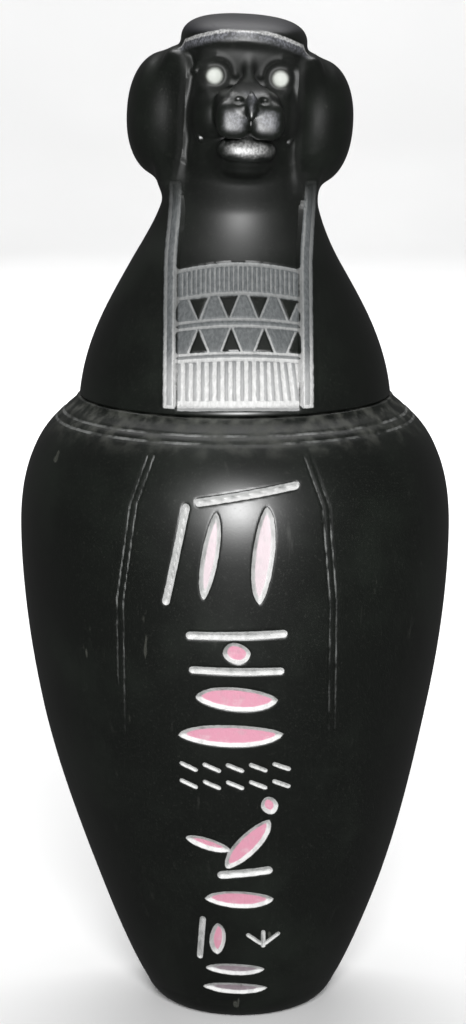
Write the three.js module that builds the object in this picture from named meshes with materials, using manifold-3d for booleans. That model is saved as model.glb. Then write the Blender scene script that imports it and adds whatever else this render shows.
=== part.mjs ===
// Canopic jar with a baboon-headed lid, both cut from black stone.
// Millimetres, +Z up, origin on the ground under the middle of the jar, face towards -Y.
// The jar is a hollow vessel with a small flat foot. The lid is one solid carving, a baboon's head
// over a long wig, and its spigot drops into the jar's mouth.

import * as THREE from "three";
import { mergeVertices } from "three/addons/utils/BufferGeometryUtils.js";
import Module from "manifold-3d";

const wasm = await Module();
wasm.setup();
const { clamp, degToRad, lerp, mapLinear, smoothstep } = THREE.MathUtils;

// ---- Driving dimensions ----

const RIM_HEIGHT = 225.6; // the jar's rim, where the lid rests
const BELLY_RADIUS = 77.2;
const BELLY_HEIGHT = 178;
const FOOT_RADIUS = 23.5; // the flat that it stands on
const FOOT_EDGE = 9; // height of the rounded edge round the foot
const FOOT_DRIFT = 2; // the foot sits a little to the right of the belly
const DRIFT_HEIGHTS = [40, 115]; // where the drift is full, and where it starts
const WALL = 12.5;
const FLOOR = 16; // thickness of the stone under the hollow
const MOUTH_RADIUS = 40;
const THROAT_HEIGHT = 16; // the straight part of the mouth

const LID_SEAT = RIM_HEIGHT + 0.3; // underside of the lid, a joint's width above the rim
const LID_RADIUS = 55.6;
const LID_EDGE = 0.8; // chamfer round the lid's lower edge
const SPIGOT_RADIUS = 38.4;
const SPIGOT_DEPTH = 8;
const NECK_RADIUS = 26.2;
const NECK_HEIGHT = 300;
const CROWN_HEIGHT = 359.5;
const HEAD_HEIGHT = 338; // the middle of the head, at the eyes
const HEAD_DRIFT = 1.7; // the head sits a little to the right of the wig,
const HEAD_ROLL = degToRad(3); // leans that way,
const ROLL_HEIGHT = 322; // about its middle,
const FACE_TURN = degToRad(4.8); // and looks a little that way too
const EYE = [11.4, -16.6, 338.8]; // the middle of an eyeball, from the middle plane of the face
const EYE_RADIUS = 5;
const CREST = [19.4, -17.2]; // the wig's edge beside the face, which stands up as a crest
const CREST_SLOPE = [0.6, 0.8]; // out of its two sides
const EDGE_TURNS = [-0.8, 0.2, 4, 12]; // degrees round the head from that crest
const BAND_FOOT = 350.4; // lower edge of the headband, in front
const BAND_WIDTH = 4.6;
const BAND_DROP = 6; // how far the band curves down at its ends
const BAND_RADII = [22.7, 28.4];

const PANEL_MIDDLE = 1.1; // the chest panel between the wig's front edges, to the right of the neck
const PANEL_HALF = 21.4; // half its width
const PANEL_DEPTH = 1.7;
const PANEL_FOOT = 228; // where it stops above the lid's lower edge
const HEM_END = [292, 304]; // the panel and its hems run out into the neck here
const HEM_WIDTH = 4.6; // the raised hem along each front edge of the wig
const HEM_RISE = 0.8;
const HEM_WALL = 0.7; // how far each side of the hem slopes

const MARK_DEPTH = 1.2; // depth of the cut strokes down the front of the jar

const JAR_COLUMNS = 40;
const FACE_COLUMNS = 32; // across the front of the lid, between the wig's edges
const BACK_COLUMNS = 22; // round the rest of it
const FACE_CROWDING = 0.38; // how much closer the columns stand at the nose than beside the face
const BACK_CROWDING = 0.4; // and how much closer at the front of the mane than behind

// ---- Small tools ----

// Smooth union of two distances, and one distance cut out of another.
function blend(a, b, reach) {
  const h = Math.max(reach - Math.abs(a - b), 0) / reach;
  return Math.min(a, b) - (h * h * reach) / 4;
}

function carve(a, b, reach) {
  return -blend(-a, b, reach);
}

// What two solids share.
function both(a, b, reach) {
  return -blend(-a, -b, reach);
}

// Distance from point to a superellipsoid: power 2 is an ellipsoid, more is boxier.
function boulder([x, y, z], [cx, cy, cz], [rx, ry, rz], power = 2) {
  const a = Math.abs(x - cx) / rx;
  const b = Math.abs(y - cy) / ry;
  const c = Math.abs(z - cz) / rz;
  const sum = a ** power + b ** power + c ** power;
  if (sum < 1e-9) return -Math.min(rx, ry, rz);
  const slope = Math.hypot(a ** (power - 1) / rx, b ** (power - 1) / ry, c ** (power - 1) / rz);
  return (sum ** (1 / power) - 1) / (sum ** (1 / power - 1) * slope);
}

// Distance from point to a rod with round ends.
function rod([x, y, z], [ax, ay, az], [bx, by, bz], radius) {
  const along = [bx - ax, by - ay, bz - az];
  const off = [x - ax, y - ay, z - az];
  const dot = off[0] * along[0] + off[1] * along[1] + off[2] * along[2];
  const share = clamp(dot / (along[0] ** 2 + along[1] ** 2 + along[2] ** 2), 0, 1);
  return Math.hypot(...off.map((o, i) => o - share * along[i])) - radius;
}

// Radius at a height along a curve of (radius, height) points that rises all the way.
function radiusAlong(curve) {
  const points = curve.getPoints(80);
  return (z) => {
    const upper = points.findIndex((p) => p.y >= z);
    if (upper < 0) return points.at(-1).x;
    if (upper === 0) return points[0].x;
    const [low, high] = [points[upper - 1], points[upper]];
    return mapLinear(z, low.y, high.y, low.x, high.x);
  };
}

function evenSteps(from, to, count) {
  return Array.from({ length: count }, (_, i) => from + ((to - from) * i) / (count - 1));
}

// Steps that stand closer together in the middle, or for a crowding below 0 at both ends.
function crowdedSteps(from, to, count, crowding) {
  const [middle, half] = [(from + to) / 2, (to - from) / 2];
  return evenSteps(-1, 1, count).map(
    (s) => middle + half * (s - (crowding * Math.sin(Math.PI * s)) / Math.PI),
  );
}

function bezier(...points) {
  return new THREE.CubicBezierCurve(...points.map(([r, z]) => new THREE.Vector2(r, z)));
}

function gap(a, b) {
  return Math.hypot(a[0] - b[0], a[1] - b[1], a[2] - b[2]);
}

// A closed skin over rings of equal point count, with a pole at each end. Rings run upwards on the
// outside, and each ring runs from the front (-Y) through +X. Each four-sided face is split along its
// shorter diagonal.
function skin(firstPole, rings, lastPole) {
  const count = rings[0].length;
  const points = [firstPole, ...rings.flat(), lastPole];
  const last = rings.length * count + 1;
  const index = [];
  for (let c = 0; c < count; c++) {
    const next = (c + 1) % count;
    index.push(0, 1 + next, 1 + c);
    for (let r = 0; r + 1 < rings.length; r++) {
      const low = 1 + r * count;
      const high = low + count;
      const [a, b, d, e] = [low + c, low + next, high + next, high + c];
      const rising = gap(points[a], points[d]) <= gap(points[b], points[e]);
      index.push(...(rising ? [a, b, d, a, d, e] : [a, b, e, b, d, e]));
    }
    const top = last - count;
    index.push(last, top + c, top + next);
  }
  const geometry = new THREE.BufferGeometry();
  geometry.setAttribute("position", new THREE.Float32BufferAttribute(points.flat(), 3));
  geometry.setIndex(index);
  return geometry;
}

// ---- Solids for cutting ----

function toSolid(geometry) {
  const bare = new THREE.BufferGeometry();
  const loose = geometry.index ? geometry.toNonIndexed() : geometry;
  bare.setAttribute("position", loose.getAttribute("position"));
  const merged = mergeVertices(bare, 1e-3);
  return new wasm.Manifold(
    new wasm.Mesh({
      numProp: 3,
      vertProperties: new Float32Array(merged.getAttribute("position").array),
      triVerts: new Uint32Array(merged.index.array),
    }),
  );
}

function toGeometry(solid) {
  const mesh = solid.getMesh();
  const geometry = new THREE.BufferGeometry();
  geometry.setAttribute("position", new THREE.Float32BufferAttribute(mesh.vertProperties, 3));
  geometry.setIndex(new THREE.BufferAttribute(mesh.triVerts, 1));
  return geometry;
}

// ---- The jar ----

// Outside of the jar from the foot's edge to the rim, moved inwards by inset.
function jarOutside(inset = 0) {
  const edge = new THREE.QuadraticBezierCurve(
    new THREE.Vector2(FOOT_RADIUS, 0),
    new THREE.Vector2(31.4, 0.4),
    new THREE.Vector2(35.2, FOOT_EDGE),
  );
  const wall = bezier([35.2, FOOT_EDGE], [46.6, 28], [BELLY_RADIUS, 110], [BELLY_RADIUS, BELLY_HEIGHT]);
  const shoulder = bezier(
    [BELLY_RADIUS, BELLY_HEIGHT],
    [BELLY_RADIUS, 215.3],
    [59, 220.5],
    [56.6, RIM_HEIGHT],
  );
  const points = [
    ...edge.getPoints(3),
    ...wall.getPoints(9).slice(1),
    ...shoulder.getPoints(8).slice(1),
  ];
  return points.map((p) => new THREE.Vector2(p.x - inset, p.y));
}

// Inside of the jar from the mouth down to the middle of the floor.
function jarInside() {
  const throatFoot = RIM_HEIGHT - THROAT_HEIGHT;
  const wide = BELLY_RADIUS - WALL;
  const vault = bezier([MOUTH_RADIUS, throatFoot], [57, 205], [wide, 196], [wide, BELLY_HEIGHT - 4]);
  const bowl = bezier([wide, BELLY_HEIGHT - 4], [wide, 112], [27, 32], [15, FLOOR]);
  return [
    new THREE.Vector2(MOUTH_RADIUS, RIM_HEIGHT),
    ...vault.getPoints(4),
    ...bowl.getPoints(7).slice(1),
  ];
}

function footDrift(z) {
  return FOOT_DRIFT * (1 - smoothstep(z, ...DRIFT_HEIGHTS));
}

function jarRing(radius, z) {
  return evenSteps(0, 2 * Math.PI, JAR_COLUMNS + 1)
    .slice(0, -1)
    .map((turn) => [footDrift(z) + radius * Math.sin(turn), -radius * Math.cos(turn), z]);
}

function jarBody() {
  const profile = [...jarOutside(), ...jarInside()];
  return skin(
    [footDrift(0), 0, 0],
    profile.map((p) => jarRing(p.x, p.y)),
    [footDrift(FLOOR), 0, FLOOR],
  );
}

// The jar's outside brought in by the depth of the strokes: what the cutters leave alone.
function jarCore() {
  const profile = jarOutside(MARK_DEPTH);
  return skin([footDrift(0), 0, -1], profile.map((p) => jarRing(p.x, p.y)), [0, 0, RIM_HEIGHT + 1]);
}

// ---- The strokes down the front of the jar: plain marks that spell nothing ----

// Each row: height, then strokes as [x, length, width, tilt in degrees, shape].
const MARK_ROWS = [
  [202.5, [4, 36, 3, 9, "bar"]],
  [182, [-20, 36, 3, 78, "bar"], [-8.5, 31, 5.6, 82, "leaf"], [9.5, 34, 7.2, 86, "leaf"]],
  [154.6, [0.5, 35, 3.2, 1, "bar"]],
  [148.2, [0.5, 10, 7.4, 0, "leaf"]],
  [141.8, [0.5, 33, 3, -1, "bar"]],
  [131.6, [0.5, 29, 8.4, -2, "leaf"]],
  [118, [-1.5, 37, 8, 1, "leaf"]],
  ...[106, 99.4].map((z) => [z, ...[-16, -8, 0, 8, 16].map((x) => [x, 7.4, 2, -24, "bar"])]),
  [91.2, [12, 6.6, 6.6, 0, "leaf"]],
  [76, [-9.5, 17, 4.6, -14, "leaf"], [4.5, 25, 7.6, 52, "leaf"]],
  [64.6, [3.5, 20, 3.6, 6, "bar"]],
  [53.6, [1.5, 25, 6.8, 0, "leaf"]],
  [36.8, [-12, 19, 2.6, 86, "bar"], [-6.2, 14, 5.6, 90, "leaf"]],
  [36.8, ...[40, 90, 140].map((tilt) => [10 + 4 * Math.cos((tilt * Math.PI) / 180), 8, 2, tilt, "bar"])],
  [23.6, [0, 22, 5, 0, "leaf"]],
  [15, [0, 24, 5, 0, "leaf"]],
];

// A bar has straight sides and round ends; a leaf narrows to a blunt point at each end.
function markOutline(length, width, shape) {
  const [half, side] = [length / 2, width / 2];
  const outline = new THREE.Shape();
  if (shape === "leaf") {
    const belly = 2 * side;
    outline.moveTo(-half, 0);
    outline.bezierCurveTo(-half * 0.8, -belly * 0.55, half * 0.8, -belly * 0.9, half, 0);
    outline.bezierCurveTo(half * 0.8, belly * 0.55, -half * 0.8, belly * 0.9, -half, 0);
  } else {
    outline.absarc(half - side, 0, side, -Math.PI / 2, Math.PI / 2);
    outline.absarc(side - half, 0, side, Math.PI / 2, (3 * Math.PI) / 2);
  }
  return outline;
}

function markCutter([x, length, width, tilt, shape], z) {
  const settings = { depth: BELLY_RADIUS + 10, bevelEnabled: false, curveSegments: shape === "leaf" ? 4 : 2 };
  const geometry = new THREE.ExtrudeGeometry(markOutline(length, width, shape), settings);
  geometry.rotateZ(degToRad(tilt));
  geometry.rotateX(Math.PI / 2);
  geometry.translate(x, 0, z);
  return toSolid(geometry);
}

function makeJar() {
  const cutters = MARK_ROWS.flatMap(([z, ...marks]) => marks.map((mark) => markCutter(mark, z)));
  const all = cutters.reduce((sum, cutter) => sum.add(cutter));
  const recesses = all.subtract(toSolid(jarCore()));
  return toGeometry(toSolid(jarBody()).subtract(recesses));
}

// ---- The lid ----

const wigSide = radiusAlong(
  bezier([LID_RADIUS, 226], [52.5, 257.9], [29.8, 276.3], [NECK_RADIUS, NECK_HEIGHT]),
);
const wigFront = radiusAlong(bezier([LID_RADIUS, 226], [53.2, 246], [27.5, 272], [25.4, 292]));
const wigBack = radiusAlong(bezier([LID_RADIUS, 226], [54, 262], [34, 280], [30.5, 306]));

function headDrift(z) {
  return HEAD_DRIFT * smoothstep(z, 272, NECK_HEIGHT);
}

// Corners of the hem's section, as distances from the middle of the panel.
const HEM_CORNERS = [0, HEM_WALL, HEM_WIDTH - HEM_WALL, HEM_WIDTH].map((w) => PANEL_HALF + w);

// The wig from the lid's lower edge up into the neck, with the sunk panel between its front edges.
function wig([x, y, z]) {
  const across = x - headDrift(z);
  const deep = y < 0 ? wigFront(z) : wigBack(z);
  const distance = Math.max(Math.hypot(across, y), 1e-6);
  const radius = distance / Math.max(Math.hypot(across / wigSide(z), y / deep), 1e-8);
  let gap = (distance - radius) * 0.88;
  if (y < 0) {
    const open = clamp(z - PANEL_FOOT, 0, 1) * (1 - smoothstep(z, ...HEM_END));
    gap += open * frontStep(Math.abs(across - PANEL_MIDDLE));
  }
  return Math.max(gap, (z - NECK_HEIGHT - 8) * 0.7);
}

// How far the front of the wig lies under its round form: the panel, then the hem, then the wig.
function frontStep(fromMiddle) {
  const [first, second, third, fourth] = HEM_CORNERS;
  if (fromMiddle < first) return PANEL_DEPTH;
  if (fromMiddle < second) return mapLinear(fromMiddle, first, second, PANEL_DEPTH, -HEM_RISE);
  if (fromMiddle < third) return -HEM_RISE;
  if (fromMiddle < fourth) return mapLinear(fromMiddle, third, fourth, -HEM_RISE, 0);
  return 0;
}

// Skull, cap and mane, with the headband standing a little proud of the cap.
function skull(point) {
  const paired = [Math.abs(point[0]), point[1], point[2]];
  const dome = boulder(point, [0, 2, 349.8], [22.2, 28, CROWN_HEIGHT - 349.8], 2.65);
  const cap = both(dome, underBand(point), 0.8);
  const back = boulder(point, [0, 6, 328], [24, 25.5, 29], 2.2);
  const mane = boulder(paired, [26, 6, 323.2], [14.1, 19.4, 22.2], 2.2);
  return blend(blend(blend(cap, back, 4), mane, 3), headband(point), 0.6);
}

// Height of the headband's lower edge. It curves down at both ends, and runs out behind.
function bandFoot([x, y]) {
  return BAND_FOOT - BAND_DROP * (x / BAND_RADII[0]) ** 2 - 14 * smoothstep(y, -14, 2);
}

// Distance out from the upright face of the headband.
function beyondBand([x, y]) {
  return (Math.hypot(x / BAND_RADII[0], (y - 2) / BAND_RADII[1]) - 1) * BAND_RADII[0];
}

// Distance below the slope that runs from the headband's foot back to the forehead.
function underBand(point) {
  return 0.55 * beyondBand(point) - 0.835 * (point[2] - bandFoot(point));
}

function headband(point) {
  const top = point[2] - bandFoot(point) - BAND_WIDTH;
  const strip = both(both(beyondBand(point), top, 0.7), underBand(point), 0.7);
  return both(strip, point[1] + 6, 0.8);
}

// The crest moves outwards to meet the hem below the face.
function crestX(z) {
  return CREST[0] + 2 * (1 - smoothstep(z, 298, 314));
}

// The wig's edge: a crest beside the face that slopes back to the mane, and ends over the hem.
function wigEdge([x, y, z]) {
  const slope = CREST_SLOPE[0] * Math.abs(x - crestX(z)) - CREST_SLOPE[1] * (y - CREST[1]);
  return both(slope, boulder([x, y, z], [22, -3, 322], [8, 17, 25.5], 3), 2);
}

// The face, around its own middle plane.
function face(point) {
  const [x, y, z] = point;
  const paired = [Math.abs(x), y, z];
  const cheeks = boulder(paired, [9.5, -17.5, 325], [9.2, 9.5, 9], 2.2);
  const jaw = boulder(point, [0, -12, 310.5], [18.8, 13, 9.4], 2.6);
  const chin = boulder(point, [0, -20, 311], [10.8, 13.4, 7], 2.3);
  const forehead = both(boulder(point, [0, -10, 350], [18.6, 14.6, 16], 2.5), z - 352, 2);
  const lowerLip = boulder([x, y - 0.16 * (z - 314.8), z], [0, -31, 314.8], [10, 5, 4.4], 2.6);
  const socket = boulder(paired, [EYE[0], -26.2, EYE[2] + 0.6], [7, 7, 6.4], 2.2);
  let shape = boulder(point, [0, -4.6, 327], [19.8, 17.2, 24.5], 3.4);
  shape = blend(blend(blend(shape, forehead, 2), cheeks, 5), jaw, 3);
  shape = carve(blend(shape, chin, 4), socket, 0.6);
  shape = blend(shape, rod(point, [0, -21.8, 346], [0, -28.6, 335], 1.7), 2);
  shape = blend(shape, rod(paired, [2, -26.5, 336], [8.4, -28.5, 330], 2), 3);
  shape = blend(blend(shape, lowerLip, 2), upperLipAndNose(point), 1);
  return blend(shape, boulder(paired, EYE, [EYE_RADIUS, EYE_RADIUS, EYE_RADIUS]), 1);
}

// Two upper lip lobes beside a groove, under the nose.
function upperLipAndNose([x, y, z]) {
  const snout = boulder([x, y - 0.1 * (z - 327), z], [0, -26, 327.2], [11.5, 14.8, 8.5], 3);
  const leaning = [Math.abs(x), y - 0.18 * (z - 325.6), z];
  const lobes = boulder(leaning, [5.5, -38.2, 325.4], [6.2, 4.2, 6.6], 2.8);
  const nose = boulder([x, y, z], [0, -35, 332.4], [7.4, 7.4, 3.3], 2.6);
  return blend(blend(snout, lobes, 1.4), nose, 1.2);
}

// Leans point with the head, towards +X, round the head's own middle.
function leant([x, y, z]) {
  const up = z - ROLL_HEIGHT;
  const across = x - HEAD_DRIFT;
  return [
    across * Math.cos(HEAD_ROLL) - up * Math.sin(HEAD_ROLL),
    y,
    ROLL_HEIGHT + up * Math.cos(HEAD_ROLL) + across * Math.sin(HEAD_ROLL),
  ];
}

function lidDistance(point) {
  const [x, y, z] = leant(point);
  const turned = [
    x * Math.cos(FACE_TURN) + y * Math.sin(FACE_TURN),
    y * Math.cos(FACE_TURN) - x * Math.sin(FACE_TURN),
    z,
  ];
  const head = blend(skull([x, y, z]), wigEdge([Math.abs(x), y, z]), 3);
  return blend(blend(head, wig(point), 5), face(turned), 1);
}

// Where a ray from the lid's middle leaves the stone: stepped inwards from outside, then halved.
function surfaceAlong(origin, direction) {
  const at = (distance) => origin.map((o, i) => o + distance * direction[i]);
  let outside = 72;
  while (outside > 0.5 && lidDistance(at(outside - 0.5)) > 0) outside -= 0.5;
  let inside = outside - 0.5;
  for (let i = 0; i < 12; i++) {
    const middle = (inside + outside) / 2;
    if (lidDistance(at(middle)) > 0) outside = middle;
    else inside = middle;
  }
  return at(inside);
}

// Where a point of the wig's front, so far to one side, stands round the lid's middle.
function turnAt(across, z) {
  const reach = Math.min(Math.abs(across) / wigSide(z), 0.97);
  return Math.atan2(across, wigFront(z) * Math.sqrt(1 - reach ** 2));
}

// Directions round the lid at a height: across the hem on one side, the panel and the other hem, then
// round the back. The columns keep to the hems' corners on the wig, and to the wig's edges on the head.
function lidTurns(z) {
  const onHead = smoothstep(z, ...HEM_END);
  const crest = Math.atan2(crestX(z), -CREST[1]);
  const sides = [-1, 1].map((side) =>
    HEM_CORNERS.map((corner, i) => {
      const onWig = turnAt(PANEL_MIDDLE + side * corner, z);
      return lerp(onWig, side * (crest + degToRad(EDGE_TURNS[i])), onHead);
    }),
  );
  const [left, right] = [sides[0].reverse(), sides[1]];
  const across = crowdedSteps(left.at(-1), right[0], FACE_COLUMNS + 1, FACE_CROWDING);
  const behind = crowdedSteps(right.at(-1), left[0] + 2 * Math.PI, BACK_COLUMNS + 1, -BACK_CROWDING);
  return [...left.slice(0, -1), ...across, ...right.slice(1), ...behind.slice(1, -1)];
}

// One ring of the carved surface: level rays, or rays that rise from the middle of the head.
function carvedRing(z, rise = 0) {
  const roll = HEAD_ROLL * smoothstep(z, NECK_HEIGHT - 18, NECK_HEIGHT + 6);
  const origin = [headDrift(z) + (z - ROLL_HEIGHT) * Math.sin(roll), 0, z];
  return lidTurns(z).map((turn) => {
    const across = Math.sin(turn) * Math.cos(rise);
    const up = Math.sin(rise);
    return surfaceAlong(origin, [
      across * Math.cos(roll) + up * Math.sin(roll),
      -Math.cos(turn) * Math.cos(rise),
      up * Math.cos(roll) - across * Math.sin(roll),
    ]);
  });
}

function plainRing(radius, z) {
  return lidTurns(LID_SEAT).map((turn) => [radius * Math.sin(turn), -radius * Math.cos(turn), z]);
}

function makeLid() {
  const spigotFoot = LID_SEAT - SPIGOT_DEPTH;
  const under = [
    plainRing(SPIGOT_RADIUS - 1, spigotFoot),
    plainRing(SPIGOT_RADIUS, spigotFoot + 1),
    plainRing(SPIGOT_RADIUS, LID_SEAT),
    plainRing(LID_RADIUS - LID_EDGE, LID_SEAT),
  ];
  const edgeRows = [LID_SEAT + LID_EDGE, PANEL_FOOT].map((z) => carvedRing(z));
  const wigRows = evenSteps(PANEL_FOOT + 1, NECK_HEIGHT - 4, 9).map((z) => carvedRing(z));
  const faceRows = evenSteps(NECK_HEIGHT - 1, HEAD_HEIGHT, 20).map((z) => carvedRing(z));
  const crownRows = [5, 10, 15, 20, 26, 33, 41, 50, 61, 75].map((rise) =>
    carvedRing(HEAD_HEIGHT, degToRad(rise)),
  );
  const lean = Math.sin(HEAD_ROLL);
  const middle = [HEAD_DRIFT + (HEAD_HEIGHT - ROLL_HEIGHT) * lean, 0, HEAD_HEIGHT];
  const crown = surfaceAlong(middle, [lean, 0, Math.cos(HEAD_ROLL)]);
  return skin([0, 0, spigotFoot], [...under, ...edgeRows, ...wigRows, ...faceRows, ...crownRows], crown);
}

// ---- The object ----

function piece(name, geometry, material) {
  geometry.computeVertexNormals();
  const mesh = new THREE.Mesh(geometry, material);
  mesh.name = name;
  return mesh;
}

const blackStone = { roughness: 0.42, metalness: 0 };
const canopicJar = new THREE.Group();
canopicJar.add(
  piece("jar", makeJar(), new THREE.MeshStandardMaterial({ color: 0x1e241e, ...blackStone })),
  piece("lid", makeLid(), new THREE.MeshStandardMaterial({ color: 0x161816, ...blackStone })),
);

export default canopicJar;
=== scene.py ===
import math

import bpy
import numpy as np
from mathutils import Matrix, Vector


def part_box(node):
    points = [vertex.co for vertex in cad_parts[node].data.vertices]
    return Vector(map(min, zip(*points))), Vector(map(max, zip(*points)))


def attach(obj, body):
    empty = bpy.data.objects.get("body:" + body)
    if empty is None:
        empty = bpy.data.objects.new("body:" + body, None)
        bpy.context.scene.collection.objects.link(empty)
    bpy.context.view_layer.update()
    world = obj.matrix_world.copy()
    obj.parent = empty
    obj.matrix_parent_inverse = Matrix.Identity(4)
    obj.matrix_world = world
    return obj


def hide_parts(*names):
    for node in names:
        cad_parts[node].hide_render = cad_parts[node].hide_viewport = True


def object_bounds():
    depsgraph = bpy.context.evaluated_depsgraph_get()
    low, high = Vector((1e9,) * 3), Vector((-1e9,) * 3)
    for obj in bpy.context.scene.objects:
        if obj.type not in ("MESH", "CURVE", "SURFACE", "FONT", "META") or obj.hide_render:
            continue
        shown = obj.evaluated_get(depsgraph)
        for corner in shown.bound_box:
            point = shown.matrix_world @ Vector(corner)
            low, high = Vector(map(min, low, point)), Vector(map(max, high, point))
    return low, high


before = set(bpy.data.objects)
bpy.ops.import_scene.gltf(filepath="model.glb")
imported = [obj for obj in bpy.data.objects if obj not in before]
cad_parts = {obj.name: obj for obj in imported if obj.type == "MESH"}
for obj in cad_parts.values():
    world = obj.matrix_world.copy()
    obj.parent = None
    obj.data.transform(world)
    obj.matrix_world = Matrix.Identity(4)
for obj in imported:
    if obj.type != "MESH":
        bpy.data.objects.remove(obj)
cad_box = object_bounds()

# ---- Sizes, in millimetres unless a name says otherwise ----

MM = 0.001
jar_high = np.array(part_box("jar")[1]) / MM
lid_low = np.array(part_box("lid")[0]) / MM

RIM_HEIGHT = jar_high[2]
BELLY_RADIUS = jar_high[1]
BELLY_HEIGHT = 178
FOOT_RADIUS = 23.5
FOOT_EDGE = 9
FOOT_DRIFT = 2  # how far the foot stands towards +X from the belly's middle
DRIFT_HEIGHTS = (40, 115)
WALL = 12.5
FLOOR = 16
MOUTH_RADIUS = 40
THROAT_HEIGHT = 16

SPIGOT_FOOT = lid_low[2]
LID_SEAT = RIM_HEIGHT + 0.3
LID_RADIUS = 55.6
LID_EDGE = 0.8
SPIGOT_RADIUS = 38.4
NECK_RADIUS = 26.2
NECK_HEIGHT = 300
CROWN_HEIGHT = 359.5
HEAD_HEIGHT = 338
HEAD_DRIFT = 1.7
HEAD_ROLL = math.radians(3)
ROLL_HEIGHT = 322
FACE_TURN = math.radians(4.8)
EYE = (11.4, -16.6, 338.8)
EYE_RADIUS = 5
EYE_DISC = 2.6  # the pale disc on each eye
EDGE_TURNS = (-0.8, 0.2, 4, 12)  # degrees round the head from the wig's crest beside the face
CREST = (19.4, -17.2)  # the wig's edge beside the face
EDGE_SLOPE = (0.6, 0.8)  # how the crest falls away to both sides
BAND_FOOT = 350.4  # the headband's lower edge, in front
BAND_WIDTH = 4.6
BAND_DROP = 6
BAND_RADII = (22.7, 28.4)

PANEL_MIDDLE = 1.1
PANEL_HALF = 21.4
PANEL_DEPTH = 1.7
PANEL_FOOT = 228
HEM_END = (292, 304)  # the hem sinks back into the wig below the face
HEM_TOP = 303  # its scratches and edge lines stop here
HEM_WIDTH = 4.6
HEM_RISE = 0.8
HEM_WALL = 0.7
HEM_CORNERS = [PANEL_HALF + w for w in (0, HEM_WALL, HEM_WIDTH - HEM_WALL, HEM_WIDTH)]

MARK_DEPTH = 1.2
MARK_BEVEL = 1.5  # how far the cut strokes' walls slope
OUTSIDE = -9.0  # the signed distance that stands for far outside a painted or cut place

# ---- Small tools for numbers ----


def smoothstep(value, low, high):
    share = np.clip((value - low) / (high - low), 0, 1)
    return share * share * (3 - 2 * share)


def blend(a, b, reach):
    h = np.maximum(reach - np.abs(a - b), 0) / reach
    return np.minimum(a, b) - h * h * reach / 4


def carve(a, b, reach):
    return -blend(-a, b, reach)


def both(a, b, reach):
    """Distance to what two solids share, with a rounded edge."""
    return -blend(-a, -b, reach)


def boulder(point, middle, radii, power=2):
    """Distance to a superellipsoid: power 2 is an ellipsoid, more is boxier."""
    a, b, c = (np.abs(v - m) / r for v, m, r in zip(point, middle, radii))
    total = a**power + b**power + c**power + 1e-9
    steep = [(v ** (power - 1) / r) ** 2 for v, r in zip((a, b, c), radii)]
    slope = np.sqrt(sum(steep)) + 1e-9
    return (total ** (1 / power) - 1) / (total ** (1 / power - 1) * slope)


def rod(point, start, end, radius):
    """Distance to a rod with round ends."""
    start, end = np.array(start, float), np.array(end, float)
    along = end - start
    off = [v - s for v, s in zip(point, start)]
    share = np.clip(sum(o * a for o, a in zip(off, along)) / along.dot(along), 0, 1)
    return np.sqrt(sum((o - share * a) ** 2 for o, a in zip(off, along))) - radius


def bezier(points, count=81):
    """Points along a cubic curve through its two outer control points."""
    t = np.linspace(0, 1, count)[:, None]
    a, b, c, d = (np.array(p, float) for p in points)
    return (1 - t) ** 3 * a + 3 * (1 - t) ** 2 * t * b + 3 * (1 - t) * t**2 * c + t**3 * d


def radius_along(points):
    """Radius at a height along a curve of (radius, height) points that rises all the way."""
    curve = bezier(points)
    return lambda z: np.interp(z, curve[:, 1], curve[:, 0])


# ---- The lid's form ----

wig_side = radius_along([(LID_RADIUS, 226), (52.5, 257.9), (29.8, 276.3), (NECK_RADIUS, NECK_HEIGHT)])
wig_front = radius_along([(LID_RADIUS, 226), (53.2, 246), (27.5, 272), (25.4, 292)])
wig_back = radius_along([(LID_RADIUS, 226), (54, 262), (34, 280), (30.5, 306)])


def head_drift(z):
    return HEAD_DRIFT * smoothstep(z, 272, NECK_HEIGHT)


def front_step(from_middle):
    """How far the wig's front lies under its round form: the panel, then the hem, then the wig."""
    return np.interp(from_middle, HEM_CORNERS, [PANEL_DEPTH, -HEM_RISE, -HEM_RISE, 0])


def wig(point):
    x, y, z = point
    across = x - head_drift(z)
    deep = np.where(y < 0, wig_front(z), wig_back(z))
    distance = np.maximum(np.hypot(across, y), 1e-6)
    radius = distance / np.maximum(np.hypot(across / wig_side(z), y / deep), 1e-8)
    opened = np.clip(z - PANEL_FOOT, 0, 1) * (1 - smoothstep(z, *HEM_END)) * (y < 0)
    step = opened * front_step(np.abs(across - PANEL_MIDDLE))
    gap = (distance - radius) * 0.88 + step
    return np.maximum(gap, (z - NECK_HEIGHT - 8) * 0.7)


def skull(point):
    """Skull, cap and mane, with the headband standing a little proud of the cap."""
    paired = (np.abs(point[0]), point[1], point[2])
    cap = boulder(point, (0, 2, 349.8), (22.2, 28, CROWN_HEIGHT - 349.8), 2.65)
    cap = both(cap, under_band(point), 0.8)
    back = boulder(point, (0, 6, 328), (24, 25.5, 29), 2.2)
    mane = boulder(paired, (26, 6, 323.2), (14.1, 19.4, 22.2), 2.2)
    head = blend(blend(cap, back, 4), mane, 3)
    return blend(head, headband(point), 0.6)


def band_foot(point):
    """Height of the headband's lower edge. It curves down at both ends and then runs out behind."""
    x, y, _ = point
    return BAND_FOOT - BAND_DROP * (x / BAND_RADII[0]) ** 2 - 14 * smoothstep(y, -14, 2)


def beyond_band(point):
    """Distance out from the upright face of the headband."""
    return (np.hypot(point[0] / BAND_RADII[0], (point[1] - 2) / BAND_RADII[1]) - 1) * BAND_RADII[0]


def under_band(point):
    """Distance below the slope that runs from the headband's foot back to the forehead."""
    return 0.55 * beyond_band(point) - 0.835 * (point[2] - band_foot(point))


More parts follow.
